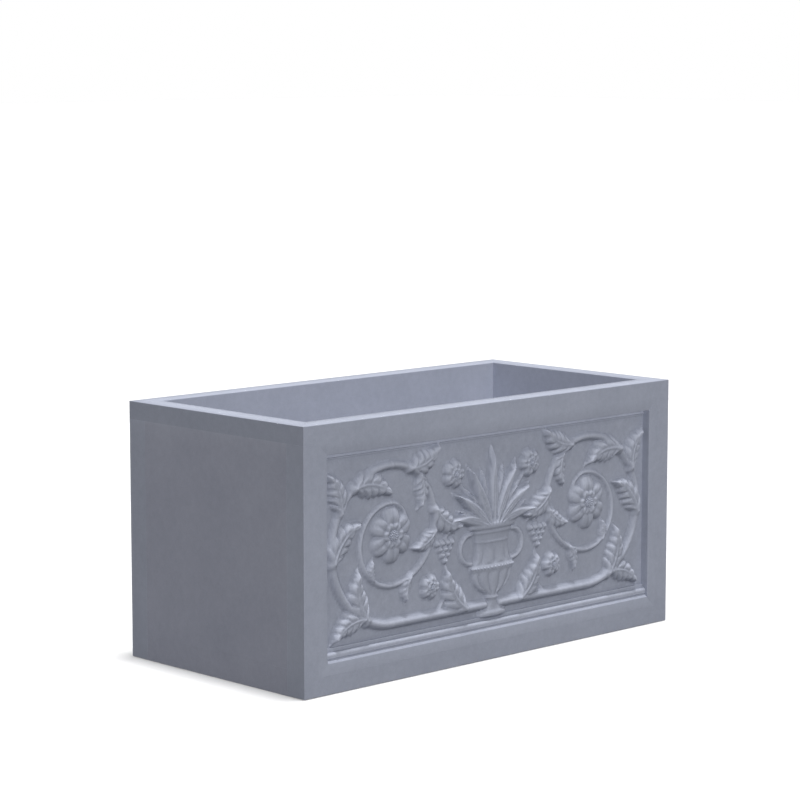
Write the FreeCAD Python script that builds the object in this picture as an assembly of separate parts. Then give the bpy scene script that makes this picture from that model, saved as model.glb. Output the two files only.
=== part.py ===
import FreeCAD, Part
import math
import os

# Rectangular floor planter of cast stone, built from bonded slabs.
# Front and back walls run the full length, the end walls and the base sit between them, and a mitred rim caps
# all four. A pocket in the front wall holds a relief panel, and a mitred bead keeps the panel in.
# Millimetres. Origin: middle of the footprint, on the ground. +X along the front, +Y to the back, +Z up.

# Stonework
length = 1000.0
depth = 500.0
height = 500.0
wall = 46.0
rim_height = 35.0
base_thickness = 50.0
bed = 0.2
arris = 2.0

# Front: plain margin, bead and panel
margin = 35.0
bead_width = 23.0
bead_fall = 1.8
recess_depth = 18.0
panel_thickness = 14.0

# Relief: plinth along the foot of the panel and fillet along its top
plinth_block_height = 7.0
plinth_block_proud = 11.0
plinth_roll_radius = 5.0
plinth_step_height = 7.0
plinth_step_proud = 4.0
top_fillet_height = 7.0
top_fillet_proud = 3.0
relief_root = 3.0

# Relief: room that the ornament is drawn for, above the plinth and either side of the middle
drawn_height = 347.0
drawn_half_length = 442.0

# Relief: urn and spray
urn_height = 184.0
urn_half_width = 62.0
urn_crown = 13.0
urn_edge = 3.0
handle_radius = 29.0
handle_thickness = 6.0
handle_level = 136.0
spray_length = 146.0
spray_half_width = 13.0
spray_pairs = 3
spray_spread = 22.0
spray_shortening = 17.0
spray_gap = 7.0
spray_bend = 9.0

# Relief: scrolls, leaves and rosettes
scroll_radius = 150.0
scroll_step = 36.0
scroll_edge = 12.0
stem_radius = 11.0
stem_thinning = 2.0
stem_shoulder = 0.35
stem_back_width = 0.42
stem_back_height = 0.95
scroll_turns = 4
leaf_length = 104.0
leaf_half_width = 23.0
leaf_bend = 62.0
leaf_lean = 22.0
leaf_lobes = 3
leaf_crown = 12.5
leaf_edge = 4.0
leaf_swell = 0.7
leaf_stalk = 0.25
lobe_peak = 0.55
lobe_notch = 0.84
foot_leaf_heading = 28.0
rosette_radius = 52.0
rosette_boss_radius = 12.0
rosette_boss_proud = 15.0
rosette_petals = 6
petal_fill = 0.9
straight_bend = 0.5

# Leaves along the scroll: half turn, share of that half turn, side (1 inside, -1 outside) and size
leaf_places = [(0, 0.14, 1, 1.0), (0, 0.46, 1, 1.0), (0, 0.78, 1, 1.0),
               (0, 0.16, -1, 0.86), (0, 0.66, -1, 0.86), (1, 0.14, -1, 0.86), (1, 0.45, -1, 0.86)]

# Steel: cramps and flat dowels
cramp_width = 20.0
cramp_thickness = 5.0
cramp_length = 90.0
cramp_leg = 22.0
dowel_width = 25.0
dowel_thickness = 5.0
dowel_length = 40.0
dowel_inset = 7.0
dowel_edge = 100.0

# Drains
drain_spacing = 500.0
outlet_bore_radius = 16.0
outlet_wall = 3.5
outlet_flange_width = 12.0
outlet_flange_thickness = 4.0
outlet_rise = 2.0
outlet_sunk = 6.0
plug_depth = 28.0
plug_head_radius = 21.0
plug_head_thickness = 5.0
plug_grip_length = 26.0
plug_grip_width = 7.0
plug_grip_height = 12.0
plug_clearance = 0.3
outlet_clearance = 0.2

# Pads under the front and back walls
pad_length = 120.0
pad_width = 30.0
pad_thickness = 6.0
pad_sunk = 5.0
pad_inset = 60.0

# Levels and places that follow from the sizes above
ground = pad_thickness - pad_sunk
top = ground + height
wall_top = top - rim_height - bed
floor_level = ground + base_thickness
side_inner = length / 2 - wall
wall_middle = depth / 2 - wall / 2
pocket_half = length / 2 - margin
pocket_low = ground + margin
recess_half = pocket_half - bead_width
recess_low = pocket_low + bead_width
recess_height = height - rim_height - margin - 2 * bead_width
panel_face = -depth / 2 + recess_depth
plinth_height = plinth_block_height + 2 * plinth_roll_radius + plinth_step_height
ornament_room = recess_height - plinth_height - top_fillet_height
ornament_scale = min(ornament_room / drawn_height, recess_half / drawn_half_length)
drain_places = [side * drain_spacing / 2 for side in (-1, 1)]

ORIGIN = FreeCAD.Vector(0, 0, 0)
AXIS_X = FreeCAD.Vector(1, 0, 0)
AXIS_Y = FreeCAD.Vector(0, 1, 0)
AXIS_Z = FreeCAD.Vector(0, 0, 1)
BEYOND = 2 * (length + depth + height)


def vec(x, y, z=0.0):
    return FreeCAD.Vector(x, y, z)


def block(low, high):
    """Box between two corners."""
    return Part.makeBox(high[0] - low[0], high[1] - low[1], high[2] - low[2], vec(*low))


def outline(start, *steps):
    """Closed flat face. A step is a point for a line, or a pair (through, end) for an arc."""
    edges = []
    here = vec(*start)
    for step in steps + (start,):
        if isinstance(step[0], tuple):
            there = vec(*step[1])
            edges.append(Part.Arc(here, vec(*step[0]), there).toShape())
        else:
            there = vec(*step)
            edges.append(Part.makeLine(here, there))
        here = there
    return Part.Face(Part.Wire(edges))


def raised(face, low, high):
    """Flat face pushed up from one height to another."""
    solid = face.extrude(vec(0, 0, high - low))
    solid.translate(vec(0, 0, low))
    return solid


def rod(middle, axis, span, radius):
    return Part.makeCylinder(radius, span, middle - axis * (span / 2), axis)


def on_front(shape):
    """Moves a shape drawn flat (across, up from the recess edge, out of the ground) onto the front."""
    shape.rotate(ORIGIN, AXIS_X, 90)
    shape.translate(vec(0, panel_face, recess_low))
    return shape


def mirrored(shape):
    return shape.mirror(ORIGIN, AXIS_X)


def joined(pieces):
    """One solid out of pieces that run into each other."""
    whole = pieces[0]
    for piece in pieces[1:]:
        whole = whole.fuse(piece)
    return whole


# Mitred rings


def mitred_member(section, span, width):
    """Section (width across, height up) along X, outer edge on the X axis, with a mitre at both ends."""
    bar = section.extrude(vec(0, 0, span))
    bar.rotate(ORIGIN, vec(1, 1, 1), 120)
    bar.translate(vec(-span / 2, 0, 0))
    half = (span - bed * math.sqrt(2)) / 2
    plan = outline((-half, 0), (half, 0), (half - width, width), (width - half, width))
    return bar.common(raised(plan, -BEYOND, BEYOND))


def mitred_ring(section, width, across, along):
    """Four members round a rectangle that is centred on the origin: near, right, far and left."""
    members = []
    for turn in range(4):
        span, reach = ((across, along), (along, across))[turn % 2]
        member = mitred_member(section, span, width)
        member.translate(vec(0, -reach / 2, 0))
        member.rotate(ORIGIN, AXIS_Z, 90 * turn)
        members.append(member)
    return members


def rim_section():
    soft = arris * (1 - math.sqrt(0.5))
    outer_round = ((soft, rim_height - soft), (arris, rim_height))
    inner_round = ((wall - soft, rim_height - soft), (wall, rim_height - arris))
    flat_end = (wall - arris, rim_height)
    return outline((0, 0), (0, rim_height - arris), outer_round, flat_end, inner_round, (wall, 0))


def bead_section():
    """Flush with the wall at its outer edge, then a long roll down to the recess."""
    roll_radius = (bead_width ** 2 + bead_fall ** 2) / (2 * bead_fall)
    half_turn = math.asin(bead_width / roll_radius) / 2
    sink = roll_radius * (1 - math.cos(half_turn))
    roll = ((roll_radius * math.sin(half_turn), recess_depth - sink), (bead_width, recess_depth - bead_fall))
    return outline((bed, 0), (bed, recess_depth), (2 * bed, recess_depth), roll, (bead_width, 0))


# Relief, drawn flat


def turned(point, angle, reach):
    """Point at a distance from another, in a direction given in degrees."""
    way = math.radians(angle)
    return (point[0] + reach * math.cos(way), point[1] + reach * math.sin(way))


def leaf(root, heading, span, half_width, bend, crown, lobes):
    """Lobed blade along a bent midrib, highest on the midrib. A positive bend turns left."""
    bend_radius = span / math.radians(bend)
    centre = turned(root, heading + 90, bend_radius)

    def place(share, offset):
        return turned(centre, heading + bend * share - 90, bend_radius - offset)

    def edge(side):
        points = []
        for lobe in range(lobes):
            shares = [(lobe + part) / lobes for part in (0.0, lobe_peak)]
            start, swell = [half_width * math.sin(math.pi * share ** leaf_swell) for share in shares]
            start = leaf_stalk * half_width if lobe == 0 else lobe_notch * start
            points.append((place(shares[0], side * start), place(shares[1], side * swell)))
        return points

    left, right = edge(1), edge(-1)
    tip = place(1.0, 0.0)
    ends = [point[0] for point in left[1:]] + [tip]
    steps = [(point[1], end) for point, end in zip(left, ends)]
    steps += [(point[1], point[0]) for point in reversed(right)]
    blade = raised(outline(left[0][0], *steps), -relief_root, crown + relief_root)
    chord = vec(*tip) - vec(*root)
    rib = vec(*place(0.5, 0.0))
    middle = (vec(*root) + chord * 0.5 + rib) * 0.5
    return blade.common(crest(middle, chord, half_width + (rib - middle).Length, crown, leaf_edge))


def crest(middle, axis, reach, crown, edge):
    """Cylinder whose back stands at the crown over its axis and falls to the edge height at its reach."""
    drop = crown - edge
    radius = (reach ** 2 + drop ** 2) / (2 * drop)
    return rod(middle + vec(0, 0, crown - radius), axis * (1 / axis.Length), 2 * axis.Length, radius)


def stem_section(thickness):
    """Upright half of a stem, across and out, with a flat back and two slopes."""
    shoulder = stem_shoulder * thickness
    half_back = stem_back_width * thickness
    back = stem_back_height * thickness
    return outline((-thickness, -relief_root), (thickness, -relief_root), (thickness, shoulder),
                   (half_back, back), (-half_back, back), (-thickness, shoulder))


def stem_arc(centre, radius, start_angle, sweep, thickness):
    section = stem_section(thickness)
    section.rotate(ORIGIN, AXIS_X, 90)
    section.translate(vec(radius, 0, 0))
    section.rotate(ORIGIN, AXIS_Z, start_angle)
    section.translate(vec(*centre))
    return section.revolve(vec(*centre), AXIS_Z, sweep)


def stem_line(start, span, thickness):
    section = stem_section(thickness)
    section.rotate(ORIGIN, vec(1, 1, 1), 120)
    section.translate(vec(*start))
    return section.extrude(vec(span, 0, 0))


def urn():
    """Footed urn, drawn by shares of its half width and height, with a rounded front."""
    def at(wide, high):
        return (wide * urn_half_width, plinth_height + high * urn_height)

    right = [at(0.58, 0.0), at(0.58, 0.05), (at(0.26, 0.1), at(0.18, 0.18)), at(0.26, 0.19), at(0.26, 0.22)]
    right += [at(0.2, 0.23), (at(0.66, 0.3), at(0.88, 0.49)), at(0.94, 0.5), at(0.94, 0.55)]
    right += [at(0.84, 0.56), (at(0.68, 0.76), at(0.86, 0.93)), at(1.0, 0.94), at(1.0, 1.0)]
    silhouette = raised(outline(at(0.0, 0.0), *right, at(0.0, 1.0)), -relief_root, urn_crown + relief_root)
    middle = vec(0, plinth_height + urn_height / 2)
    half = silhouette.common(crest(middle, AXIS_Y * urn_height, urn_half_width, urn_crown, urn_edge))
    return half.fuse(mirrored(half)).removeSplitter()


def urn_handle():
    centre = (urn_half_width - handle_thickness, plinth_height + handle_level)
    return stem_arc(centre, handle_radius, -90, 180, handle_thickness)


def spray():
    """Fan of long leaflets that rises from the urn."""
    root = plinth_height + urn_height - relief_root
    right = []
    for place in range(1, spray_pairs + 1):
        start = (spray_gap * place, root)
        span = spray_length - spray_shortening * place
        heading = 90 - spray_spread * place
        right.append(leaf(start, heading, span, spray_half_width, -spray_bend * place, leaf_crown, 1))
    middle = leaf((0, root), 90, spray_length, spray_half_width, straight_bend, leaf_crown, 1)
    return [middle] + right + [mirrored(leaflet) for leaflet in right]


def rosette(centre):
    petals = []
    for turn in range(rosette_petals):
        heading = 360 * (turn + 0.5) / rosette_petals
        petal_half = rosette_radius * math.sin(math.pi / rosette_petals) * petal_fill
        petals.append(leaf(centre, heading, rosette_radius, petal_half, straight_bend, leaf_crown, 1))
    boss_height = rosette_boss_proud + relief_root
    boss = Part.makeCylinder(rosette_boss_radius, boss_height, vec(*centre, -relief_root))
    return joined(petals + [boss])


def scroll():
    """Stem that leaves the urn's foot, winds in to a rosette and throws leaves to both sides."""
    across = recess_half / ornament_scale - scroll_edge - stem_radius - scroll_radius
    low = plinth_height + scroll_edge + stem_radius
    centres = [(across, low + scroll_radius), (across, low + scroll_radius + scroll_step)]
    pieces = [stem_line((0, low), across, stem_radius)]
    for turn in range(scroll_turns):
        radius = scroll_radius - scroll_step * turn
        thickness = stem_radius - stem_thinning * turn
        pieces.append(stem_arc(centres[turn % 2], radius, 180 * turn - 90, 180, thickness))

    def sprout(turn, share, side, size):
        angle = 180 * (turn + share) - 90
        root = turned(centres[turn % 2], angle, scroll_radius - scroll_step * turn)
        heading = angle + 90 + side * leaf_lean
        span = size * leaf_length
        half_width = size * leaf_half_width
        return leaf(root, heading, span, half_width, side * leaf_bend, leaf_crown, leaf_lobes)

    pieces += [sprout(*place) for place in leaf_places]
    root = (urn_half_width + stem_radius, low)
    pieces.append(leaf(root, foot_leaf_heading, leaf_length, leaf_half_width, leaf_bend, leaf_crown,
                       leaf_lobes))
    pieces.append(rosette((across, low + scroll_radius + scroll_step / 2)))
    return joined(pieces)


def plinth():
    """Stepped moulding the relief stands on."""
    roll_middle = plinth_block_height + plinth_roll_radius
    roll_end = plinth_block_height + 2 * plinth_roll_radius
    base = plinth_block_proud - plinth_roll_radius
    roll = ((roll_middle, base + plinth_roll_radius), (roll_end, base))
    profile = outline((bed, -relief_root), (bed, plinth_block_proud),
                      (plinth_block_height, plinth_block_proud), (plinth_block_height, base), roll,
                      (roll_end, plinth_step_proud), (plinth_height, plinth_step_proud),
                      (plinth_height, -relief_root))
    return moulding(profile)


def top_fillet():
    low = recess_height - top_fillet_height
    high = recess_height - bed
    bevel = low + top_fillet_proud
    profile = outline((low, -relief_root), (low, 0), (bevel, top_fillet_proud), (high, top_fillet_proud),
                      (high, -relief_root))
    return moulding(profile)


def moulding(profile):
    """Profile (up, out) run across the recess."""
    span = 2 * (recess_half - bed)
    bar = profile.extrude(vec(0, 0, span))
    bar.rotate(ORIGIN, vec(1, 1, 1), 120)
    bar.translate(vec(-span / 2, 0, 0))
    return bar


# Steel


def plate(middle, along, across, room):
    """Flat dowel, with its length along one axis and its width along another. Room is added all round."""
    half = along * (dowel_length / 2 + room) + across * (dowel_width / 2 + room)
    half = half + along.cross(across) * (dowel_thickness / 2 + room)
    half = vec(abs(half.x), abs(half.y), abs(half.z))
    return block(tuple(middle - half), tuple(middle + half))


def rim_dowels(room):
    """Upright dowels between the walls and the rim, near the inner faces."""
    reach_y = depth / 2 - wall + dowel_inset
    reach_x = length / 2 - wall + dowel_inset
    run_y = depth / 2 - wall - dowel_edge
    run_x = length / 2 - wall - dowel_edge
    on_long = [vec(x, y, wall_top) for y in (-reach_y, reach_y) for x in (-run_x, 0, run_x)]
    on_short = [vec(x, y, wall_top) for x in (-reach_x, reach_x) for y in (-run_y, run_y)]
    pieces = [plate(place, AXIS_Z, AXIS_X, room) for place in on_long]
    pieces += [plate(place, AXIS_Z, AXIS_Y, room) for place in on_short]
    return Part.makeCompound(pieces)


def end_wall_dowels(room):
    """Upright dowels between the base and the end walls."""
    middle = length / 2 - wall / 2
    run = depth / 2 - wall - dowel_edge
    places = [vec(x, y, floor_level) for x in (-middle, middle) for y in (-run, 0, run)]
    return Part.makeCompound([plate(place, AXIS_Z, AXIS_Y, room) for place in places])


def base_dowels(room):
    """Level dowels between the base and the long walls."""
    edge = depth / 2 - wall
    run = length / 2 - wall - dowel_edge
    level = ground + margin / 2
    places = [vec(x, y, level) for y in (-edge, edge) for x in (-run, 0, run)]
    return Part.makeCompound([plate(place, AXIS_Y, AXIS_X, room) for place in places])


def cramp(side_x, side_y, room):
    """Flat bar across a wall corner with both ends turned down. Room is added all round for its recess."""
    x = side_x * (length / 2 - wall / 2)
    outer = wall_middle + cramp_thickness / 2
    inner = outer - cramp_length
    half = cramp_width / 2 + room
    underside = wall_top - cramp_thickness - room
    foot = wall_top - cramp_leg - room
    bar = block((x - half, inner - room, underside), (x + half, outer + room, wall_top))
    for leg in (inner, outer - cramp_thickness):
        low = (x - half, leg - room, foot)
        bar = bar.fuse(block(low, (x + half, leg + cramp_thickness + room, wall_top)))
    bar = bar.removeSplitter()
    return bar if side_y > 0 else bar.mirror(ORIGIN, AXIS_Y)


# Drains and pads


def drain_outlet(x):
    """Flanged bush that lines a drain hole."""
    outer = outlet_bore_radius + outlet_wall
    seat = floor_level - outlet_sunk
    low = ground + outlet_rise
    flange = Part.makeCylinder(outer + outlet_flange_width, outlet_flange_thickness,
                               vec(x, 0, seat - outlet_flange_thickness))
    tube = Part.makeCylinder(outer, seat - low, vec(x, 0, low))
    bore = Part.makeCylinder(outlet_bore_radius, BEYOND, vec(x, 0, -BEYOND / 2))
    return flange.fuse(tube).cut(bore).removeSplitter()


def drain_hole(x):
    """What the base gives up for an outlet: the hole, and a wider sink for the flange."""
    outer = outlet_bore_radius + outlet_wall + outlet_clearance
    rim = outer + outlet_flange_width
    seat = floor_level - outlet_sunk
    hole = Part.makeCylinder(outer, BEYOND, vec(x, 0, -BEYOND / 2))
    sink = Part.makeCylinder(rim, BEYOND, vec(x, 0, seat - outlet_flange_thickness))
    return [hole, sink]


def drain_plug(x):
    """Rubber plug with a head that rests on the outlet and a bar to pull it by."""
    seat = floor_level - outlet_sunk
    radius = outlet_bore_radius - plug_clearance
    body = Part.makeCylinder(radius, plug_depth, vec(x, 0, seat - plug_depth))
    head = Part.makeCylinder(plug_head_radius, plug_head_thickness, vec(x, 0, seat))
    base = seat + plug_head_thickness
    half = plug_grip_length / 2
    edge = plug_grip_width / 2
    grip = block((x - half, -edge, base), (x + half, edge, base + plug_grip_height))
    return body.fuse([head, grip]).removeSplitter()


def pad(side_x, side_y):
    x = side_x * (length / 2 - pad_inset - pad_length / 2)
    y = side_y * wall_middle
    low = (x - pad_length / 2, y - pad_width / 2, 0)
    return block(low, (x + pad_length / 2, y + pad_width / 2, pad_thickness))


# Slabs


def envelope():
    """The whole stone block with its upright corners rounded."""
    stone = block((-length / 2, -depth / 2, ground), (length / 2, depth / 2, top))
    upright = [edge for edge in stone.Edges if abs(edge.tangentAt(edge.FirstParameter).z) > 0.5]
    return stone.makeFillet(arris, upright)


def base_slab(steel):
    edge = depth / 2 - wall - bed
    slab = block((-length / 2, -edge, ground), (length / 2, edge, floor_level))
    holes = [piece for x in drain_places for piece in drain_hole(x)]
    return slab.cut(holes + steel)


def long_wall(side_y, steel):
    """Front or back wall, full length, from the foot to the underside of the rim."""
    inner = depth / 2 - wall
    near, far = sorted((side_y * inner, side_y * depth / 2))
    slab = block((-length / 2, near, ground), (length / 2, far, wall_top)).common(envelope())
    seats = [pad(side_x, side_y) for side_x in (-1, 1)]
    return slab.cut(seats + steel)


def front_wall(steel):
    pocket = block((-pocket_half, -depth / 2 - wall, pocket_low),
                   (pocket_half, panel_face + panel_thickness + bed, BEYOND))
    return long_wall(-1, steel).cut(pocket)


def end_wall(side_x, steel):
    inner, outer = sorted((side_x * side_inner, side_x * length / 2))
    edge = depth / 2 - wall - bed
    return block((inner, -edge, floor_level + bed), (outer, edge, wall_top)).cut(steel)


def relief_panel():
    low = bed - bead_width
    high = recess_height + bead_width
    half = pocket_half - bed
    plate = block((-half, low, -panel_thickness), (half, high, 0))
    handle = urn_handle()
    vase = joined([urn(), handle, mirrored(handle)] + spray())
    right = scroll()
    foot = vec(0, plinth_height, 0)
    ornament = [shape.scaled(ornament_scale, foot) for shape in (vase, right, mirrored(right))]
    return on_front(joined([plate, plinth(), top_fillet()] + ornament))


def build():
    corners = {"front_left": (-1, -1), "front_right": (1, -1), "back_left": (-1, 1), "back_right": (1, 1)}
    rim_slots = [rim_dowels(bed)]
    end_slots = [end_wall_dowels(bed)]
    base_slots = [base_dowels(bed)]
    cramp_seats = [cramp(*corner, bed) for corner in corners.values()]

    nodes = {}
    nodes["base_slab"] = base_slab(end_slots + base_slots)
    nodes["back_wall"] = long_wall(1, rim_slots + base_slots + cramp_seats)
    nodes["front_wall"] = front_wall(rim_slots + base_slots + cramp_seats)
    nodes["left_end_wall"] = end_wall(-1, rim_slots + end_slots + cramp_seats)
    nodes["right_end_wall"] = end_wall(1, rim_slots + end_slots + cramp_seats)

    rim = mitred_ring(rim_section(), wall, length, depth)
    for side, member in zip(("front", "right", "back", "left"), rim):
        member.translate(vec(0, 0, top - rim_height))
        nodes["rim_" + side] = member.common(envelope()).cut(rim_slots)

    bead = mitred_ring(bead_section(), bead_width, 2 * pocket_half, recess_height + 2 * bead_width)
    for side, member in zip(("bottom", "right", "top", "left"), bead):
        member.translate(vec(0, recess_height / 2, 0))
        nodes["bead_" + side] = on_front(member)

    nodes["relief_panel"] = relief_panel()
    nodes["rim_dowels"] = rim_dowels(0)
    nodes["end_wall_dowels"] = end_wall_dowels(0)
    nodes["base_dowels"] = base_dowels(0)
    for corner, sides in corners.items():
        nodes[corner + "_cramp"] = cramp(*sides, 0)
        nodes[corner + "_pad"] = pad(*sides)
    nodes["drain_outlets"] = Part.makeCompound([drain_outlet(x) for x in drain_places])
    for side, x in zip(("left", "right"), drain_places):
        nodes[side + "_drain_plug"] = drain_plug(x)
    return nodes


os.makedirs("parts", exist_ok=True)
for name, shape in build().items():
    shape.exportStep("parts/" + name + ".step")
    print(name, len(shape.Solids), "solid", round(shape.Volume / 1000), "cm3", "valid", shape.isValid())
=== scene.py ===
import cmath
import math

import bmesh
import bpy
import numpy as np
from mathutils import Matrix, Vector, noise


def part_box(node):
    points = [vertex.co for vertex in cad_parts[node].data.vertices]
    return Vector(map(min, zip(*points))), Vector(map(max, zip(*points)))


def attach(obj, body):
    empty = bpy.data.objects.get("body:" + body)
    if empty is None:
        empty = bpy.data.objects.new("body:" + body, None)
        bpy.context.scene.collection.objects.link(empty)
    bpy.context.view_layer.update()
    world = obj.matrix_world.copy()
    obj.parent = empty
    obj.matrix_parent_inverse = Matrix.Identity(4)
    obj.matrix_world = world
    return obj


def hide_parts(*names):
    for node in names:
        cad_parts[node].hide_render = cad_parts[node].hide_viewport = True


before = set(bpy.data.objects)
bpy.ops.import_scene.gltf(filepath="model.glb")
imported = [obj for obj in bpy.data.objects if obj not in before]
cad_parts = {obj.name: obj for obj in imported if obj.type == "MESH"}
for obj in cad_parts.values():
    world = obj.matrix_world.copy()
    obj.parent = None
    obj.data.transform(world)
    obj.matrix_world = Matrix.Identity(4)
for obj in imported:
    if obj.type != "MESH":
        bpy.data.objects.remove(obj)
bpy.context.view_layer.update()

# Floor planter of cast stone: bonded slabs, a mitred rim, and a carved panel behind a mitred bead.
# Sizes are in millimetres until a mesh is made.
MM = 0.001
PLANTER = "planter"

# Stonework
LENGTH = 1000.0
DEPTH = 500.0
HEIGHT = 500.0
WALL = 46.0
BASE = 50.0
FOOT = 1.0
RIM_HEIGHT = 35.0
BED = 0.2
MARGIN = 35.0
BEAD_WIDTH = 23.0
BEAD_FALL = {"bottom": 1.0, "right": 0.4, "top": 1.0, "left": 0.4}
RECESS_DEPTH = 18.0
PANEL_THICKNESS = 14.0
FLOOR_TOP = FOOT + BASE
TOP = FOOT + HEIGHT
RIM_FOOT = TOP - RIM_HEIGHT
WALL_TOP = RIM_FOOT - BED
POCKET_HALF = LENGTH / 2 - MARGIN
POCKET_LOW = FOOT + MARGIN
POCKET_HEIGHT = RIM_FOOT - POCKET_LOW
RECESS_HALF = POCKET_HALF - BEAD_WIDTH
RECESS_LOW = POCKET_LOW + BEAD_WIDTH
RECESS_HEIGHT = POCKET_HEIGHT - 2 * BEAD_WIDTH
PANEL_FACE = -DEPTH / 2 + RECESS_DEPTH

# Arrises: rubbed round where they are free, all but sharp where two pieces are bonded.
# The bonding mortar is the same stone dust, so each piece is drawn out to the middle of its joints.
FREE_ARRIS = 0.9
BEAD_ARRIS = {"bottom": 1.3, "right": 2.4, "top": 0.8, "left": 2.4}
BONDED_ARRIS = 0.15
BONDED_REACH = 6.0
MORTAR = BED / 2
# Rubbing by hand leaves this share of an arris, give or take waves of (share, length)
RUBBED_SHARE = 0.85
RUBBED_WAVES = ((0.4, 40.0), (0.25, 7.0))


# Node trees: two kinds of node that are used often, and the range in which most of a noise lies
MATH = "ShaderNodeMath"
NOISE = "ShaderNodeTexNoise"
NOISE_LOW = 0.3
NOISE_HIGH = 0.7


def linear(hex_colour):
    """sRGB hex to the linear red, green, blue and alpha that Blender's sockets take."""
    parts = [int(hex_colour[place:place + 2], 16) / 255 for place in (1, 3, 5)]
    return (*[part / 12.92 if part <= 0.04045 else ((part + 0.055) / 1.055) ** 2.4 for part in parts], 1.0)


def add(tree, kind, inputs=None, **settings):
    """One node with its settings. An input is a value, a node (its first output) or a (node, output) pair."""
    node = tree.nodes.new(kind)
    for name, value in settings.items():
        setattr(node, name, value)
    for key, value in (inputs or {}).items():
        pair = value if isinstance(value, tuple) else (value, 0)
        if isinstance(pair[0], bpy.types.Node):
            tree.links.new(pair[0].outputs[pair[1]], node.inputs[key])
        else:
            node.inputs[key].default_value = value
    return node


def per_metre(size_mm):
    """Texture scale that gives one cell of the pattern this size."""
    return 1 / (size_mm * MM)


def new_material(name):
    """Material with its node tree and its shader."""
    material = bpy.data.materials.new(name)
    material.use_nodes = True
    return material, material.node_tree, material.node_tree.nodes["Principled BSDF"]


def surface(tree, shader, colours, roughness, relief):
    """Ends a material with (pattern, colour stops), (pattern, least, most) and (pattern, strength, depth)."""
    pattern, stops = colours
    ramp = add(tree, "ShaderNodeValToRGB", {"Fac": pattern})
    elements = ramp.color_ramp.elements
    while len(elements) < len(stops):
        elements.new(0.5)
    for element, (position, colour) in zip(elements, stops):
        element.position = position
        element.color = linear(colour)
    pattern, least, most = roughness
    limits = {"From Min": NOISE_LOW, "From Max": NOISE_HIGH, "To Min": least, "To Max": most}
    dull = add(tree, "ShaderNodeMapRange", {"Value": pattern, **limits})
    pattern, strength, depth = relief
    bump = add(tree, "ShaderNodeBump", {"Height": pattern, "Strength": strength, "Distance": depth * MM})
    for node, socket in ((ramp, "Base Color"), (dull, "Roughness"), (bump, "Normal")):
        tree.links.new(node.outputs[0], shader.inputs[socket])


def seen_by_eye(tree):
    """Node that gives 1 to rays from the eye, straight or by a mirror or glass, and 0 to rays that light."""
    path = add(tree, "ShaderNodeLightPath")
    seen = (path, "Is Camera Ray")
    for way in ("Is Glossy Ray", "Is Transmission Ray"):
        seen = add(tree, MATH, {0: seen, 1: (path, way)}, operation="MAXIMUM")
    return seen


# Materials


def cast_stone(name, dark, middle, light):
    """Cast stone rubbed smooth out of the mould: dead matte, faintly clouded, sandy, with a few pores."""
    material, tree, shader = new_material(name)
    here = (add(tree, "ShaderNodeTexCoord"), "Object")
    cloud = add(tree, NOISE, {"Vector": here, "Scale": per_metre(110), "Detail": 3.0})
    mottle = add(tree, NOISE, {"Vector": here, "Scale": per_metre(13), "Detail": 4.0, "Roughness": 0.6})
    # The sand is finer than this. It is drawn at 3 mm so that it shows at the render's scale.
    sand = add(tree, NOISE, {"Vector": here, "Scale": per_metre(3), "Detail": 2.0})
    pores = add(tree, "ShaderNodeTexVoronoi", {"Vector": here, "Scale": per_metre(26), "Randomness": 1.0})
    hole = {"Value": (pores, "Distance"), "From Min": 0.03, "From Max": 0.055}
    pore = add(tree, "ShaderNodeMapRange", hole)
    # This attribute holds painted light and shade on the slabs and the rim, and dust and wear on the carving.
    wear_and_painted_light_node = add(tree, "ShaderNodeAttribute", attribute_name="wear_and_painted_light")
    weighed = 0.0
    for pattern, weight in ((cloud, 0.34), (mottle, 0.4), (sand, 0.26), ((wear_and_painted_light_node, "Fac"), 0.3), (pore, 0.1)):
        weighed = add(tree, MATH, {0: pattern, 1: weight, 2: weighed}, operation="MULTIPLY_ADD")
    grain = add(tree, MATH, {0: sand, 1: 0.35, 2: mottle}, operation="MULTIPLY_ADD")
    grain = add(tree, MATH, {0: grain, 1: pore}, operation="ADD")
    stops = [(0.36, dark), (0.6, middle), (0.84, light)]
    surface(tree, shader, (weighed, stops), (mottle, 0.8, 0.93), (grain, 0.35, 0.4))
    shader.inputs["Specular IOR Level"].default_value = 0.3
    shader.inputs["IOR"].default_value = 1.5
    return material


def moulded_rubber():
    """Moulded EPDM rubber: black gone grey with stone dust, soft sheen, fine mould grain."""
    material, tree, shader = new_material("moulded_epdm_rubber")
    here = (add(tree, "ShaderNodeTexCoord"), "Object")
    dust = add(tree, NOISE, {"Vector": here, "Scale": per_metre(9), "Detail": 5.0})
    grain = add(tree, NOISE, {"Vector": here, "Scale": per_metre(1.2), "Detail": 2.0})
    stops = [(0.35, "#1F2022"), (0.55, "#2A2B2E"), (0.8, "#45474B")]
    surface(tree, shader, (dust, stops), (dust, 0.55, 0.8), (grain, 0.3, 0.15))
    shader.inputs["IOR"].default_value = 1.52
    return material


def moulded_polypropylene():
    """Moulded polypropylene: dark grey, waxy half gloss, with faint flow marks round the bore."""
    material, tree, shader = new_material("moulded_polypropylene")
    here = (add(tree, "ShaderNodeTexCoord"), "Object")
    flow = add(tree, NOISE, {"Vector": here, "Scale": per_metre(16), "Detail": 3.0, "Distortion": 1.2})
    grain = add(tree, NOISE, {"Vector": here, "Scale": per_metre(1.5), "Detail": 1.0})
    stops = [(0.3, "#55575B"), (0.55, "#606267"), (0.8, "#6C6E73")]
    surface(tree, shader, (flow, stops), (flow, 0.38, 0.55), (grain, 0.2, 0.1))
    shader.inputs["IOR"].default_value = 1.49
    return material


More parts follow.
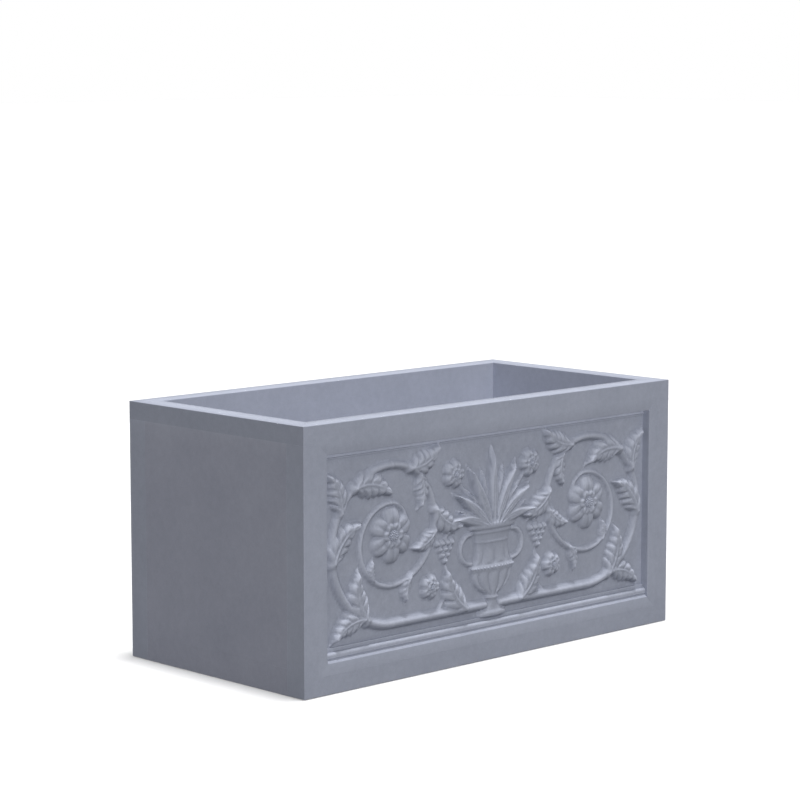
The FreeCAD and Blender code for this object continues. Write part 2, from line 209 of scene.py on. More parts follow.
def sawn_stainless():
    """Stainless flat bar as it leaves the mill: dull satin, with fine drawn lines along its length."""
    material, tree, shader = new_material("sawn_stainless_steel")
    here = (add(tree, "ShaderNodeTexCoord"), "Object")
    drawn = add(tree, "ShaderNodeMapping", {"Vector": here, "Scale": (1.0, 1.0, 0.06)})
    lines = add(tree, NOISE, {"Vector": drawn, "Scale": per_metre(0.9), "Detail": 3.0})
    stops = [(0.3, "#A9AAAC"), (0.55, "#B9BABC"), (0.8, "#C8C9CA")]
    surface(tree, shader, (lines, stops), (lines, 0.3, 0.45), (lines, 0.15, 0.05))
    shader.inputs["Metallic"].default_value = 1.0
    return material


# One mix of stone, with the small difference of tone that separate castings have, and one paler copy of the
# slab that is painted light: the back and the right end take it, so that their inner faces inside the planter
# read lighter.
STONE_TONES = {
    "slab": ("#999EAD", "#A4A9B8", "#AEB3C2"),
    "pale_slab": ("#9FA4B3", "#AAAFBE", "#B4B9C8"),
    "end": ("#989CAB", "#A3A6B5", "#ADB1BF"),
    "foot": ("#9599A8", "#A0A3B2", "#AAAEBC"),
    "rim": ("#9BA0AF", "#A6ABBA", "#B0B5C4"),
    "bead": ("#999EAD", "#A4A9B8", "#AEB3C2"),
    "carving": ("#969BAA", "#A4A9B8", "#B4B9C8"),
}
STONE = {kind: cast_stone("cast_stone_" + kind, *colours) for kind, colours in STONE_TONES.items()}
RUBBER = moulded_rubber()
PLASTIC = moulded_polypropylene()
STEEL = sawn_stainless()


# Geometry Nodes: trees for what repeats
GOLDEN_ANGLE = math.pi * (3 - math.sqrt(5))
SEEDED_SHARE = 0.8
SEED_FILL = 0.95
SEED_SUNK = 0.4
LEAST_SEEDS = 10
SEEDS_PER_MM = 0.4
EYE_POWER = 5.0
EYE_SHARE = 0.27
SOLE_RIB_WIDTH = 4.0
SOLE_RIB_DEPTH = 1.0


def repeat_tree(name, sizes):
    """Empty tree with the named sizes as inputs. Returns it with its input node."""
    tree = bpy.data.node_groups.new(name, "GeometryNodeTree")
    tree.interface.new_socket("Geometry", in_out="OUTPUT", socket_type="NodeSocketGeometry")
    for size, value in sizes.items():
        kind = "NodeSocketInt" if isinstance(value, int) else "NodeSocketFloat"
        tree.interface.new_socket(size, in_out="INPUT", socket_type=kind).default_value = value
    return tree, add(tree, "NodeGroupInput")


def close_tree(tree, points, shape, material):
    """Sets the shape on every point, makes it real and gives it its material."""
    placed = add(tree, "GeometryNodeInstanceOnPoints", {"Points": points, "Instance": shape})
    real = add(tree, "GeometryNodeRealizeInstances", {0: placed})
    finish = add(tree, "GeometryNodeSetMaterial", {0: real, "Material": material})
    add(tree, "NodeGroupOutput", {0: finish})
    return tree


def close_with_balls(tree, count, place, radius, material):
    """Sets a small ball at each of the places, which are worked out from the point's index."""
    points = add(tree, "GeometryNodePoints", {"Count": count})
    where = add(tree, "ShaderNodeCombineXYZ", place)
    moved = add(tree, "GeometryNodeSetPosition", {"Geometry": points, "Position": where})
    ball = add(tree, "GeometryNodeMeshIcoSphere", {"Radius": radius, "Subdivisions": 2})
    return close_tree(tree, moved, ball, material)


def seed_head_tree(material):
    """Seeds set round a domed eye by the golden angle, as in a daisy."""
    sizes = {"Seeds": 24, "Eye Radius": 0.014, "Eye Height": 0.0135, "Seed Size": 0.0015}
    tree, given = repeat_tree("seed_head", sizes)
    index = add(tree, "GeometryNodeInputIndex")
    number = add(tree, MATH, {0: index, 1: 0.5}, operation="ADD")
    share = add(tree, MATH, {0: number, 1: (given, "Seeds")}, operation="DIVIDE")
    root = add(tree, MATH, {0: share}, operation="SQRT")
    part = add(tree, MATH, {0: root, 1: SEEDED_SHARE}, operation="MULTIPLY")
    reach = add(tree, MATH, {0: part, 1: (given, "Eye Radius")}, operation="MULTIPLY")
    angle = add(tree, MATH, {0: index, 1: GOLDEN_ANGLE}, operation="MULTIPLY")
    place = {}
    for axis, wave in (("X", "COSINE"), ("Y", "SINE")):
        swing = add(tree, MATH, {0: angle}, operation=wave)
        place[axis] = add(tree, MATH, {0: reach, 1: swing}, operation="MULTIPLY")
    power = add(tree, MATH, {0: part, 1: EYE_POWER}, operation="POWER")
    fall = add(tree, MATH, {0: 1.0, 1: power}, operation="SUBTRACT")
    place["Z"] = add(tree, MATH, {0: fall, 1: (given, "Eye Height")}, operation="MULTIPLY")
    return close_with_balls(tree, (given, "Seeds"), place, (given, "Seed Size"), material)


def pearl_band_tree(material):
    """Pearls round the rounded front of the urn, at equal steps of its girth."""
    sizes = {"Pearls": 17, "Half Width": 0.058, "Root": 0.003, "Rise": 0.0097, "Pearl Size": 0.003,
             "Span": 2.7}
    tree, given = repeat_tree("pearl_band", sizes)
    index = add(tree, "GeometryNodeInputIndex")
    last = add(tree, MATH, {0: (given, "Pearls"), 1: 1.0}, operation="SUBTRACT")
    share = add(tree, MATH, {0: index, 1: last}, operation="DIVIDE")
    middle = add(tree, MATH, {0: share, 1: 0.5}, operation="SUBTRACT")
    angle = add(tree, MATH, {0: middle, 1: (given, "Span")}, operation="MULTIPLY")
    place = {}
    swings = (("X", "SINE", "Half Width", 0.0), ("Z", "COSINE", "Rise", (given, "Root")))
    for axis, wave, size, root in swings:
        swing = add(tree, MATH, {0: angle}, operation=wave)
        place[axis] = add(tree, MATH, {0: swing, 1: (given, size), 2: root}, operation="MULTIPLY_ADD")
    return close_with_balls(tree, (given, "Pearls"), place, (given, "Pearl Size"), material)


def sole_rib_tree(material):
    """Cross ribs along the sole of a pad."""
    sizes = {"Ribs": 15, "Pitch": 0.0076, "Rib Length": 0.028, "Rib Width": SOLE_RIB_WIDTH * MM,
             "Rib Depth": SOLE_RIB_DEPTH * MM}
    tree, given = repeat_tree("sole_ribs", sizes)
    step = add(tree, "ShaderNodeCombineXYZ", {"X": (given, "Pitch")})
    row = add(tree, "GeometryNodeMeshLine", {"Count": (given, "Ribs"), "Offset": step})
    size = add(tree, "ShaderNodeCombineXYZ",
               {"X": (given, "Rib Width"), "Y": (given, "Rib Length"), "Z": (given, "Rib Depth")})
    rib = add(tree, "GeometryNodeMeshCube", {"Size": size})
    return close_tree(tree, row, rib, material)


def grown(tree, **sizes):
    """Plain mesh that a tree gives for the stated sizes. The names have _ for a space."""
    draft = put(tree.name, bpy.data.meshes.new(tree.name))
    modifier = draft.modifiers.new(tree.name, "NODES")
    modifier.node_group = tree
    for socket in tree.interface.items_tree:
        key = socket.name.replace(" ", "_")
        if key in sizes:
            modifier[socket.identifier] = sizes[key]
    graph = bpy.context.evaluated_depsgraph_get()
    mesh = bpy.data.meshes.new_from_object(draft.evaluated_get(graph))
    bpy.data.objects.remove(draft)
    return mesh


# Meshes: points lie close together by the arrises (distances from the face) and then one to a pitch
ARRIS_LINES = (0.0, 0.25, 0.6, 1.0, 1.5, 2.2, 3.2, 5.0)
FIRST_WIDE_LINE = 8.0
SLAB_PITCH = 25.0
PROFILE_PITCH = 3.0
# Edges that turn by more degrees than this stay crisp
CRISP_ANGLE = 40.0
CARVED_ANGLE = 60.0
MERGED_WITHIN = 0.002
# Hair's breadth between two rows of points at a sharp step, and between two mitred ends
HAIR = 0.01
# A rounded corner takes no more than a side over this from each side
SIDE_OVER_CUT = 2.1


def put(name, data):
    """New object in the scene that holds a mesh, a lamp or a lens."""
    thing = bpy.data.objects.new(name, data)
    bpy.context.scene.collection.objects.link(thing)
    return thing


def piece_from(name, points_mm, faces, material, smooth_angle=CRISP_ANGLE):
    """Object at the origin from points in millimetres: doubles merged, faces outwards, crisp arrises."""
    mesh = bpy.data.meshes.new(name)
    mesh.from_pydata((np.asarray(points_mm) * MM).tolist(), [], faces)
    shell = bmesh.new()
    shell.from_mesh(mesh)
    bmesh.ops.remove_doubles(shell, verts=shell.verts, dist=MERGED_WITHIN * MM)
    bmesh.ops.dissolve_degenerate(shell, edges=shell.edges, dist=MERGED_WITHIN * MM)
    bmesh.ops.recalc_face_normals(shell, faces=shell.faces)
    shell.to_mesh(mesh)
    shell.free()
    mesh.shade_smooth()
    mesh.set_sharp_from_angle(angle=math.radians(smooth_angle))
    mesh.materials.append(material)
    return put(name, mesh)


def join_in(piece, meshes, smooth_angle=CRISP_ANGLE):
    """Adds closed shells, each with the place (matrix) where it goes, to a piece's mesh."""
    whole = bmesh.new()
    whole.from_mesh(piece.data)
    for mesh, place in meshes:
        copy = mesh.copy()
        copy.transform(place)
        whole.from_mesh(copy)
    for face in whole.faces:
        face.material_index = 0
        face.smooth = True
    whole.to_mesh(piece.data)
    whole.free()
    piece.data.set_sharp_from_angle(angle=math.radians(smooth_angle))


def lathe(profile, turns=72, closed=False):
    """Points and faces of a turned form. The profile is (radius, level), up the outside; a ring is closed."""
    points, faces = [], []
    count = len(profile)
    for turn in range(turns):
        angle = 2 * math.pi * turn / turns
        points += [(radius * math.cos(angle), radius * math.sin(angle), level) for radius, level in profile]
    for turn in range(turns):
        here, there = turn * count, (turn + 1) % turns * count
        for place in range(count if closed else count - 1):
            following = (place + 1) % count
            faces.append((here + place, there + place, there + following, here + following))
    return np.array(points), faces


def softened(profile, radius, steps=4, closed=False):
    """Profile with each corner rounded off to about the given radius."""
    smooth = []
    count = len(profile)
    for place, corner in enumerate(profile):
        if not closed and place in (0, count - 1):
            smooth.append(corner)
            continue
        here = Vector(corner)
        sides = [Vector(profile[other % count]) - here for other in (place - 1, place + 1)]
        cut = min(radius, *[side.length / SIDE_OVER_CUT for side in sides])
        start, end = [here + side.normalized() * cut for side in sides]
        for step in range(steps + 1):
            share = step / steps
            point = start * (1 - share) ** 2 + here * 2 * share * (1 - share) + end * share ** 2
            smooth.append(tuple(point))
    return smooth


def hand_over(piece, slot, body, *nodes):
    """Puts a piece under its body's empty and hides the CAD nodes that it stands for. The slot is not used.
    """
    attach(piece, body)
    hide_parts(*nodes)


def grid_lines(low, high, pitch, extra=()):
    """Lines from one face of a slab to the other: close together at the arrises, then one to a pitch."""
    close = [low + step for step in ARRIS_LINES] + [high - step for step in ARRIS_LINES]
    wide = np.linspace(low + FIRST_WIDE_LINE, high - FIRST_WIDE_LINE, max(2, int((high - low) / pitch)))
    return np.unique(np.round([line for line in [*close, *wide, *extra] if low <= line <= high], 3))


def box_grid(*axes):
    """Points and faces of a box whose six sides are cut along the lines of each axis."""
    points, faces = [], []
    for flat in range(3):
        first, second = [axis for axis in range(3) if axis != flat]
        rows, columns = len(axes[first]), len(axes[second])
        corner = np.arange(rows * columns).reshape(rows, columns)[:-1, :-1].reshape(-1, 1)
        for level in (axes[flat][0], axes[flat][-1]):
            faces += (len(points) + corner + np.array([0, 1, columns + 1, columns])).tolist()
            side = np.full((rows, columns, 3), level)
            side[:, :, first], side[:, :, second] = np.meshgrid(axes[first], axes[second], indexing="ij")
            points += side.reshape(-1, 3).tolist()
    return np.array(points), faces


def roughness_of(points, size_mm):
    """Smooth noise from -1 to 1 at each point, with cells of the given size."""
    return np.array([noise.noise(Vector(point) / size_mm) for point in points])


def rubbed(points, low, high, bonded=(), arris=FREE_ARRIS):
    """Rounds a box's arrises by hand: uneven where free, nearly sharp by the bonded planes (axis, level)."""
    radius = arris * (RUBBED_SHARE + sum(share * roughness_of(points, size) for share, size in RUBBED_WAVES))
    for axis, level in bonded:
        radius = np.where(np.abs(points[:, axis] - level) < BONDED_REACH, BONDED_ARRIS, radius)
    radius = radius[:, None]
    core = np.clip(points, np.array(low) + radius, np.array(high) - radius)
    away = points - core
    reach = np.linalg.norm(away, axis=1, keepdims=True)
    return core + away / np.maximum(reach, 1e-9) * radius


def slab(low, high, bonded=(), extra_x=(), extra_z=(), arris=FREE_ARRIS):
    """Points and faces of a rubbed slab."""
    extras = (extra_x, (), extra_z)
    points, faces = box_grid(*[grid_lines(a, b, SLAB_PITCH, extra) for a, b, extra in zip(low, high, extras)])
    return rubbed(points, low, high, bonded, arris), faces


# Walls
# Painted highlight on the outside just under the rim: how far down it reaches and how strong it is.
PAINTED_HIGHLIGHT_REACH = 17.0
PAINTED_HIGHLIGHT_TONE = 0.6
# Painted shade on the back slab's left end face.
LEFT_END_PAINTED_SHADE = 0.5
# Painted shade towards the foot: how high it reaches and how strong it is.
FOOT_SHADE_REACH = 130.0
FOOT_PAINTED_SHADE = 0.35


def set_wear_and_painted_light(mesh, wear_and_painted_light):
    """Sets how much lighter (above 0) or darker (below 0) the stone is at each point: painted light and shade
    on the slabs and the rim, dust and wear on the carving.
    """
    marks = mesh.attributes.new("wear_and_painted_light", "FLOAT", "POINT")
    marks.data.foreach_set("value", wear_and_painted_light.astype(np.float32))


def places_of(mesh):
    """Lists of where the points lie along the front, across the planter and up."""
    places = np.zeros(len(mesh.vertices) * 3)
    mesh.vertices.foreach_get("co", places)
    return places.reshape(-1, 3).T / MM


def paint_slab_light_and_shade(piece, with_painted_highlight=True, with_left_end_shade=False):
    """Paints light and shade on a slab: painted shade darker towards the foot, a painted highlight on the
    outside just under the rim, and painted shade on the back slab's left end face.
    """
    along, across, levels = places_of(piece.data)
    outside = (np.abs(along) > (LENGTH - WALL) / 2) | (np.abs(across) > (DEPTH - WALL) / 2)
    # Painted shade: darker towards the foot.
    tone = -FOOT_PAINTED_SHADE * np.clip(1 - (levels - FOOT) / FOOT_SHADE_REACH, 0, 1)
    # Painted highlight: a paler strip on the outside, just under the rim.
    if with_painted_highlight:
        pale = PAINTED_HIGHLIGHT_TONE * np.clip(1 - (WALL_TOP - levels) / PAINTED_HIGHLIGHT_REACH, 0, 1)
        tone += np.where(outside, pale, 0.0)
    # Painted shade: the back slab's left end face is darker.
    if with_left_end_shade:
        tone -= np.where(along < -LENGTH / 2 + BED, LEFT_END_PAINTED_SHADE, 0.0)
    set_wear_and_painted_light(piece.data, tone)


def cut_pocket(points):
    """Pushes the front slab's face back to the pocket's bottom where the panel goes in."""
    inside = (np.abs(points[:, 0]) < POCKET_HALF + HAIR / 2) & (points[:, 2] > POCKET_LOW - HAIR / 2)
    bottom = PANEL_FACE + PANEL_THICKNESS + BED
    points[:, 1] = np.where(inside, np.maximum(points[:, 1], bottom), points[:, 1])


def make_walls():
    """Back slab, front slab with the pocket for the panel, and the two ends between them."""
    half, outer, inner = LENGTH / 2, DEPTH / 2, DEPTH / 2 - WALL
    edge, foot, head = inner - MORTAR, FLOOR_TOP + MORTAR, WALL_TOP + MORTAR
    between = [(2, head), (2, foot), (1, -edge), (1, edge)]
    lip_sides = [-POCKET_HALF - HAIR, -POCKET_HALF, POCKET_HALF, POCKET_HALF + HAIR]
    lips = (lip_sides, [POCKET_LOW - HAIR, POCKET_LOW])
    walls = {
        # The back and the right end take the paler copy of the slab: painted light on their inner faces.
        "back": ("pale_slab", (-half, inner, FOOT), (half, outer, head), [(2, head), (1, inner)]),
        "front": ("slab", (-half, -outer, FOOT), (half, -inner, head), [(2, head), (1, -inner)], *lips),
        "left_end": ("end", (-half, -edge, foot), (WALL - half, edge, head), between),
        "right_end": ("pale_slab", (half - WALL, -edge, foot), (half, edge, head), between),
    }
    for name, (batch, *shape) in walls.items():
        points, faces = slab(*shape)
        if name == "front":
            cut_pocket(points)
        wall = piece_from(name + "_slab", points, faces, STONE[batch])
        paint_slab_light_and_shade(wall, with_painted_highlight=name != "front", with_left_end_shade=name == "back")
        hand_over(wall, "cast_stone", PLANTER, name + "_wall")


# Mitred rings: each member is drawn as (along, in from the outer edge, up from its seat)
# Painted light and shade on the rim: painted light on its top and its inner face, painted shade on its outer
# face, darkest at the left end.
RIM_TOP_PAINTED_LIGHT = 0.12
RIM_OUTER_PAINTED_SHADE = {"front": -0.1, "right": -0.2, "back": -0.2, "left": -0.4}
RIM_INNER_PAINTED_LIGHT = 0.3
TOP_FACING = 0.05
TOP_EASE = 0.62


def mitred_bar(span, width, height, start, bonded, profile=None, arris=FREE_ARRIS):
    """Rubbed bar with both ends mitred. The profile gives the share of the height at each distance in."""
    half = span / 2 - HAIR
    low, high = (-half, start, 0.0), (half, width, height)
    pitches = (SLAB_PITCH, PROFILE_PITCH, SLAB_PITCH)
    points, faces = box_grid(*[grid_lines(a, b, pitch) for a, b, pitch in zip(low, high, pitches)])
    points = rubbed(points, low, high, bonded + [(0, -half), (0, half)], arris)
    if profile is not None:
        points[:, 2] *= profile(points[:, 1])
    points[:, 0] *= (half - points[:, 1]) / half
    return points, faces


def turned_in_plan(points, reach, turn):
    """Moves a member out to its side of the ring and turns it by quarter turns."""
    along, across = points[:, 0], points[:, 1] - reach
    for _ in range(turn):
        along, across = -across, along
    return np.stack([along, across, points[:, 2]], axis=1)


def soften_top(piece, across, half_span):
    """Eases the shading of a rim's top towards both edges, as on a face that was rubbed by hand."""
    mesh = piece.data
    normals = np.array([corner.vector for corner in mesh.corner_normals])
    places = np.array([mesh.vertices[loop.vertex_index].co[across] / MM for loop in mesh.loops])
    upward = np.zeros(len(places), dtype=bool)
    for face in mesh.polygons:
        upward[face.loop_indices] = face.normal.z > TOP_FACING
    inward = half_span - np.abs(places)
    normals[:, across] += np.sign(places) * (1 - 2 * inward / WALL) * TOP_EASE
    normals /= np.linalg.norm(normals, axis=1, keepdims=True)
    mesh.normals_split_custom_set(np.where(upward[:, None], normals, 0.0).tolist())


def paint_rim_light_and_shade(mesh, across, half_span, outer_painted_shade):
    """Paints light and shade on a rim: painted light on top and on the inner face, painted shade on the outer
    face.
    """
    places = places_of(mesh)
    inward = half_span - np.abs(places[across])
    side = np.where(inward < WALL / 2, outer_painted_shade, RIM_INNER_PAINTED_LIGHT)
    below = np.clip((TOP - places[2]) / FREE_ARRIS, 0, 1)
    set_wear_and_painted_light(mesh, RIM_TOP_PAINTED_LIGHT + (side - RIM_TOP_PAINTED_LIGHT) * below)


def make_rim():
    """Four capping members, mitred at the corners."""
    for turn, side in enumerate(("front", "right", "back", "left")):
        span, reach = ((LENGTH, DEPTH), (DEPTH, LENGTH))[turn % 2]
        points, faces = mitred_bar(span, WALL, RIM_HEIGHT + MORTAR, 0.0, [(2, 0.0)])
        points = turned_in_plan(points, reach / 2, turn)
        points[:, 2] += RIM_FOOT - MORTAR
        member = piece_from(side + "_rim", points, faces, STONE["rim"])
        soften_top(member, (turn + 1) % 2, reach / 2)
        paint_rim_light_and_shade(member.data, (turn + 1) % 2, reach / 2, RIM_OUTER_PAINTED_SHADE[side])
        hand_over(member, "cast_stone", PLANTER, "rim_" + side)


def bead_profile(fall):
    """Face of a bead, level with the margin at first and rolling inwards by the fall."""
    roll = (BEAD_WIDTH ** 2 + fall ** 2) / (2 * fall)
    return lambda inward: 1 - (roll - np.sqrt(roll ** 2 - inward ** 2)) / RECESS_DEPTH


def make_bead():
    """Four mitred bead members round the recess."""
    long_side, short_side = 2 * POCKET_HALF, POCKET_HEIGHT
    middle = POCKET_LOW + POCKET_HEIGHT / 2
    start = 2 * HAIR
    for turn, side in enumerate(("bottom", "right", "top", "left")):
        span, reach = ((long_side, short_side), (short_side, long_side))[turn % 2]
        points, faces = mitred_bar(span, BEAD_WIDTH, RECESS_DEPTH, start, [(1, start), (2, 0.0)],
                                   bead_profile(BEAD_FALL[side]), BEAD_ARRIS[side])
        points = turned_in_plan(points, reach / 2, turn)
        on_front = np.stack([points[:, 0], PANEL_FACE - points[:, 2], middle + points[:, 1]], axis=1)
        member = piece_from(side + "_bead", on_front, faces, STONE["bead"])
        hand_over(member, "cast_stone", PLANTER, "bead_" + side)


# Carving: heights over the panel's ground. A place there is a complex number: across from the middle of the
# front, and up from the foot of the recess. A form goes below the ground outside its edge, so that forms can
# be blended by their heights.
GRID_PITCH = 1.78
SAMPLES = [complex(right, above) for above in (-0.25, 0.25) for right in (-0.25, 0.25)]
STEP_HAIR = 0.04
WALL_SLOPE = 1.6
BLEND = 1.6
FINE_BLEND = 0.8
DEEPEST = -20.0
MERGED_CELLS = (16, 8, 4, 2)
LEVEL_WITHIN = 1e-6
WALL_PASSES = 2
STEEP = 0.9
WEAR_PASSES = 5
WEAR_DEPTH = 1.5
HIDDEN_EDGE = 1.0
# Mouldings along the foot and the top
PLINTH_BLOCK = 7.0
SILL_FRONT = 15.5
SILL_BACK = 6.5
PLINTH_ROLL = 5.0
ROLL_ROOT = 7.3
PLINTH_STEP = 7.0
STEP_FRONT = 4.0
PLINTH = PLINTH_BLOCK + 2 * PLINTH_ROLL + PLINTH_STEP
FILLET_HEIGHT = 8.5
FILLET_FRONT = 4.0
FILLET_ROW = 7.0
# Leaves: sizes, then shares for the swell, veins, notches, cushions, midrib, stalk and small leaves' crowns
LEAF = 104.0
LEAF_HALF = 27.0
LEAF_BEND = 62.0
LEAF_LEAN = 22.0
LEAF_CROWN = 13.5
LEAF_EDGE = 3.4
LEAF_KNOT = 15.0
FOOT_LEAF_HEADING = 28.0
VEIN_DEPTH = 3.2
RIB_RISE = 3.6
TIP_CURL = 5.0
SWELL_SKEW = 0.7
VEIN_SWEEP = 0.75
VEIN_WIDTH = 0.34
FIRST_NOTCH = 0.35
NOTCH_CUT = 0.26
NOTCH_ROUND = 0.6
CUSHION_START = 0.22
CUSHION_ROUND = 0.75
RIB_WIDTH = 0.085
STALK = 0.25
SMALL_CROWN = 0.4
CROWN_GROWTH = 0.7
# Stems: thickness, then shares for the relief and the grooves
STEM = 11.0
STEM_THINNING = 2.0
STEM_START = 22.0
STEM_RELIEF = 1.0
GROOVE_PLACE = 0.5
GROOVE_WIDTH = 0.12
GROOVE_DEPTH = 0.05
# Flowers: heights, then shares for the inner whorl, the notches between petals and the creases down them
FLOWER_CROWN = 12.0
INNER_CROWN = 14.0
EYE_CROWN = 14.0
CREASE_DEPTH = 1.3
CLEFT_DEPTH = 3.2
INNER_WHORL = 0.58
PETAL_NOTCH = 0.24
PETAL_ROOT = 0.45
CREASE_WIDTH = 0.14
# Scrolls: half turns about two centres in turn, each nearer to the eye by a step
SCROLL = 150.0
SCROLL_STEP = 36.0
SCROLL_EDGE = 12.0
HALF_TURNS = 4
SCROLL_ACROSS = RECESS_HALF - SCROLL_EDGE - STEM - SCROLL
STEM_LEVEL = PLINTH + SCROLL_EDGE + STEM
SCROLL_CENTRES = [complex(SCROLL_ACROSS, STEM_LEVEL + SCROLL + rise) for rise in (0.0, SCROLL_STEP)]
EYE = complex(SCROLL_ACROSS, STEM_LEVEL + SCROLL + SCROLL_STEP / 2)
# Leaves along the scroll: half turn, share of that half turn, side (1 inside, -1 outside) and size
SCROLL_LEAVES = [(0, 0.14, 1, 1.0), (0, 0.46, 1, 1.0), (0, 0.78, 1, 1.0), (0, 0.16, -1, 0.86),
                 (0, 0.66, -1, 0.86), (1, 0.14, -1, 0.86), (1, 0.45, -1, 0.86), (1, 0.22, 1, 0.66),
                 (1, 0.56, 1, 0.66), (2, 0.2, 1, 0.4), (1, 0.86, -1, 0.5)]
# Flowers: place, radius and petals of the rosette, the low flower and the high flower
FLOWERS = [(EYE, 52.0, 6), (complex(168, 103), 24.0, 5), (complex(104, 312), 27.0, 5)]
# Grapes: place and number of the bunch's top row, then pitch, height, size and row spacing of the berries
GRAPES = complex(128, 182)
TOP_ROW = 4
GRAPE_PITCH = 13.0
GRAPE_CROWN = 11.0
GRAPE_FALL = 0.8
BERRY_SHARE = 0.62
ROW_SHARE = 0.87
# Urn: size, then its outline as shares of its height and half width
URN_HEIGHT = 184.0
URN_HALF = 62.0
URN_CROWN = 13.0
URN_EDGE = 3.0
URN_LEVELS = [0.0, 0.05, 0.07, 0.1, 0.14, 0.18, 0.185, 0.22, 0.225, 0.25, 0.3, 0.36, 0.42, 0.49, 0.5, 0.55,
              0.56, 0.62, 0.7, 0.78, 0.86, 0.93, 0.94, 1.0]
URN_WIDTHS = [0.58, 0.58, 0.46, 0.3, 0.21, 0.18, 0.26, 0.26, 0.2, 0.34, 0.6, 0.76, 0.85, 0.88, 0.94, 0.94,
              0.84, 0.76, 0.7, 0.69, 0.74, 0.86, 1.0, 1.0]
# Turned rings of the urn: level and half height as shares of its height, and rise
PEARL_LEVEL = 0.525
URN_RINGS = [(0.03, 0.03, 2.0), (0.2, 0.02, 2.5), (PEARL_LEVEL, 0.03, 1.6), (0.8, 0.014, 1.6),
             (0.9, 0.014, 1.4), (0.965, 0.034, 2.2)]
# Flutes of the bowl and of the neck: start and end, each with its fade, as shares of the urn's height, then
# the wave round the front with its number, sharpness, rise and sinking
FLUTES = [((0.22, 0.04, 0.48, 0.03), np.cos, 5.5, 0.6, 3.6, 2.8),
          ((0.56, 0.03, 0.78, 0.2), np.sin, 4.5, 0.7, 3.2, 2.4)]
# Handles: how far in and up their centre is, their radius and their thickness
HANDLE_IN = 6.0
HANDLE_UP = 136.0
HANDLE = 29.0
HANDLE_THICK = 6.0
# Spray: where it rises from inside the lip, and the steps between blades in place, heading and bend
SPRAY_SUNK = 3.0
SPRAY_ROOT = PLINTH + URN_HEIGHT - SPRAY_SUNK
BLADES_IN_ROW = 3
BLADE_STEP = 7.0
BLADE_FAN = 22.0
BLADE_BEND = 9.0
# Rows of blades: place, heading, bend and length of the first, then shortening, half width and crown
HIGH_BLADES = (7.0, 68.0, 9.0, 129.0, 17.0, 13.0, LEAF_CROWN)
LOW_BLADES = (4.0, 79.0, 5.0, 112.0, 15.0, 8.0, 8.0)
MIDDLE_BLADE = 146.0
MIDDLE_HALF = 13.0
NEARLY_STRAIGHT = 0.5
# Tendrils to the low flower and the high flower, and the grapes' stalk
LOW_TENDRIL = 40.0
LOW_THICK = (5.0, 4.0)
HIGH_ROOT = 20.0
HIGH_THICK = 4.5
GRAPE_STALK = 20.0
STALK_THICK = 4.0


def blended(heights, form, soft=BLEND):
    """Higher of two heights, with a small fillet where they meet."""
    share = np.clip(0.5 + 0.5 * (heights - form) / soft, 0, 1)
    return heights * share + form * (1 - share) + soft * share * (1 - share)


def polar(at, centre):
    """Distance and angle of places from a centre."""
    return np.abs(at - centre), np.angle(at - centre)


def swung(angle, start):
    """Angle from a start, kept between minus and plus half a turn."""
    return (angle - start + math.pi) % (2 * math.pi) - math.pi


def point_at(centre, degrees, reach):
    """Point at an angle and a distance from a centre."""
    return centre + cmath.rect(reach, math.radians(degrees))


def leaf(at, root, heading, span, half_width, bend, crown=LEAF_CROWN, lobes=5):
    """Acanthus leaf on a bent midrib: two cushions, veins swept forward to the notches, a curled tip."""
    turn = math.radians(bend)
    radius = span / turn
    centre = point_at(root, heading + 90, radius)
    reach, angle = polar(at, centre)
    share = swung(angle, cmath.phase(root - centre)) / turn
    side = np.abs(abs(radius) - reach)
    along = np.clip(share, 0, 1)
    swell = np.sin(math.pi * along ** SWELL_SKEW)
    phase = lobes * (along - VEIN_SWEEP * side / span) + FIRST_NOTCH
    notch = np.abs(np.sin(math.pi * phase))
    scallop = 1 - NOTCH_CUT + NOTCH_CUT * notch ** NOTCH_ROUND if lobes > 1 else 1.0
    width = half_width * np.maximum(swell * scallop, STALK * (along < STALK))
    part = np.clip(side / np.maximum(width, 0.4), 0, 1)
    cushion = np.sin(math.pi * (CUSHION_START + (1 - CUSHION_START) * part)) ** CUSHION_ROUND
    height = LEAF_EDGE + (crown - LEAF_EDGE) * cushion
    if lobes > 1:
        height = height - VEIN_DEPTH * np.exp(-(notch / VEIN_WIDTH) ** 2) * np.minimum(1.6 * part, 1)
    height = height + RIB_RISE * np.exp(-(side / (RIB_WIDTH * half_width)) ** 2) * (1 - along ** 3)
    height = height + TIP_CURL * along ** 5 * (1 - part)
    outside = np.maximum(side - width, 0) + np.abs(share - along) * span
    return height - WALL_SLOPE * outside


def stem_heights(distance, thickness):
    """Round stem with a fine groove along each side."""
    groove = np.exp(-((distance - GROOVE_PLACE * thickness) / (GROOVE_WIDTH * thickness)) ** 2)
    part = np.minimum(distance / thickness, 1)
    round_back = STEM_RELIEF * thickness * (1 - part ** 2.4)
    return round_back - GROOVE_DEPTH * thickness * groove - WALL_SLOPE * np.maximum(distance - thickness, 0)


def stem_arc(at, centre, radius, start, sweep, thick_start, thick_end):
    """Stem along an arc. Start and sweep are in degrees, and a negative sweep turns right."""
    reach, angle = polar(at, centre)
    gone = np.degrees(angle) - start if sweep > 0 else start - np.degrees(angle)
    gone = gone % 360
    within = gone <= abs(sweep)
    to_ends = np.minimum(*[np.abs(at - point_at(centre, end, radius)) for end in (start, start + sweep)])
    distance = np.where(within, np.abs(reach - radius), to_ends)
    share = np.where(within, gone / abs(sweep), 0.5)
    return stem_heights(distance, thick_start + (thick_end - thick_start) * share)


def stem_line(at, start, end, thickness):
    """Stem along a straight line."""
    run = np.clip(((at - start) / (end - start)).real, 0, 1)
    return stem_heights(np.abs(at - start - run * (end - start)), thickness)


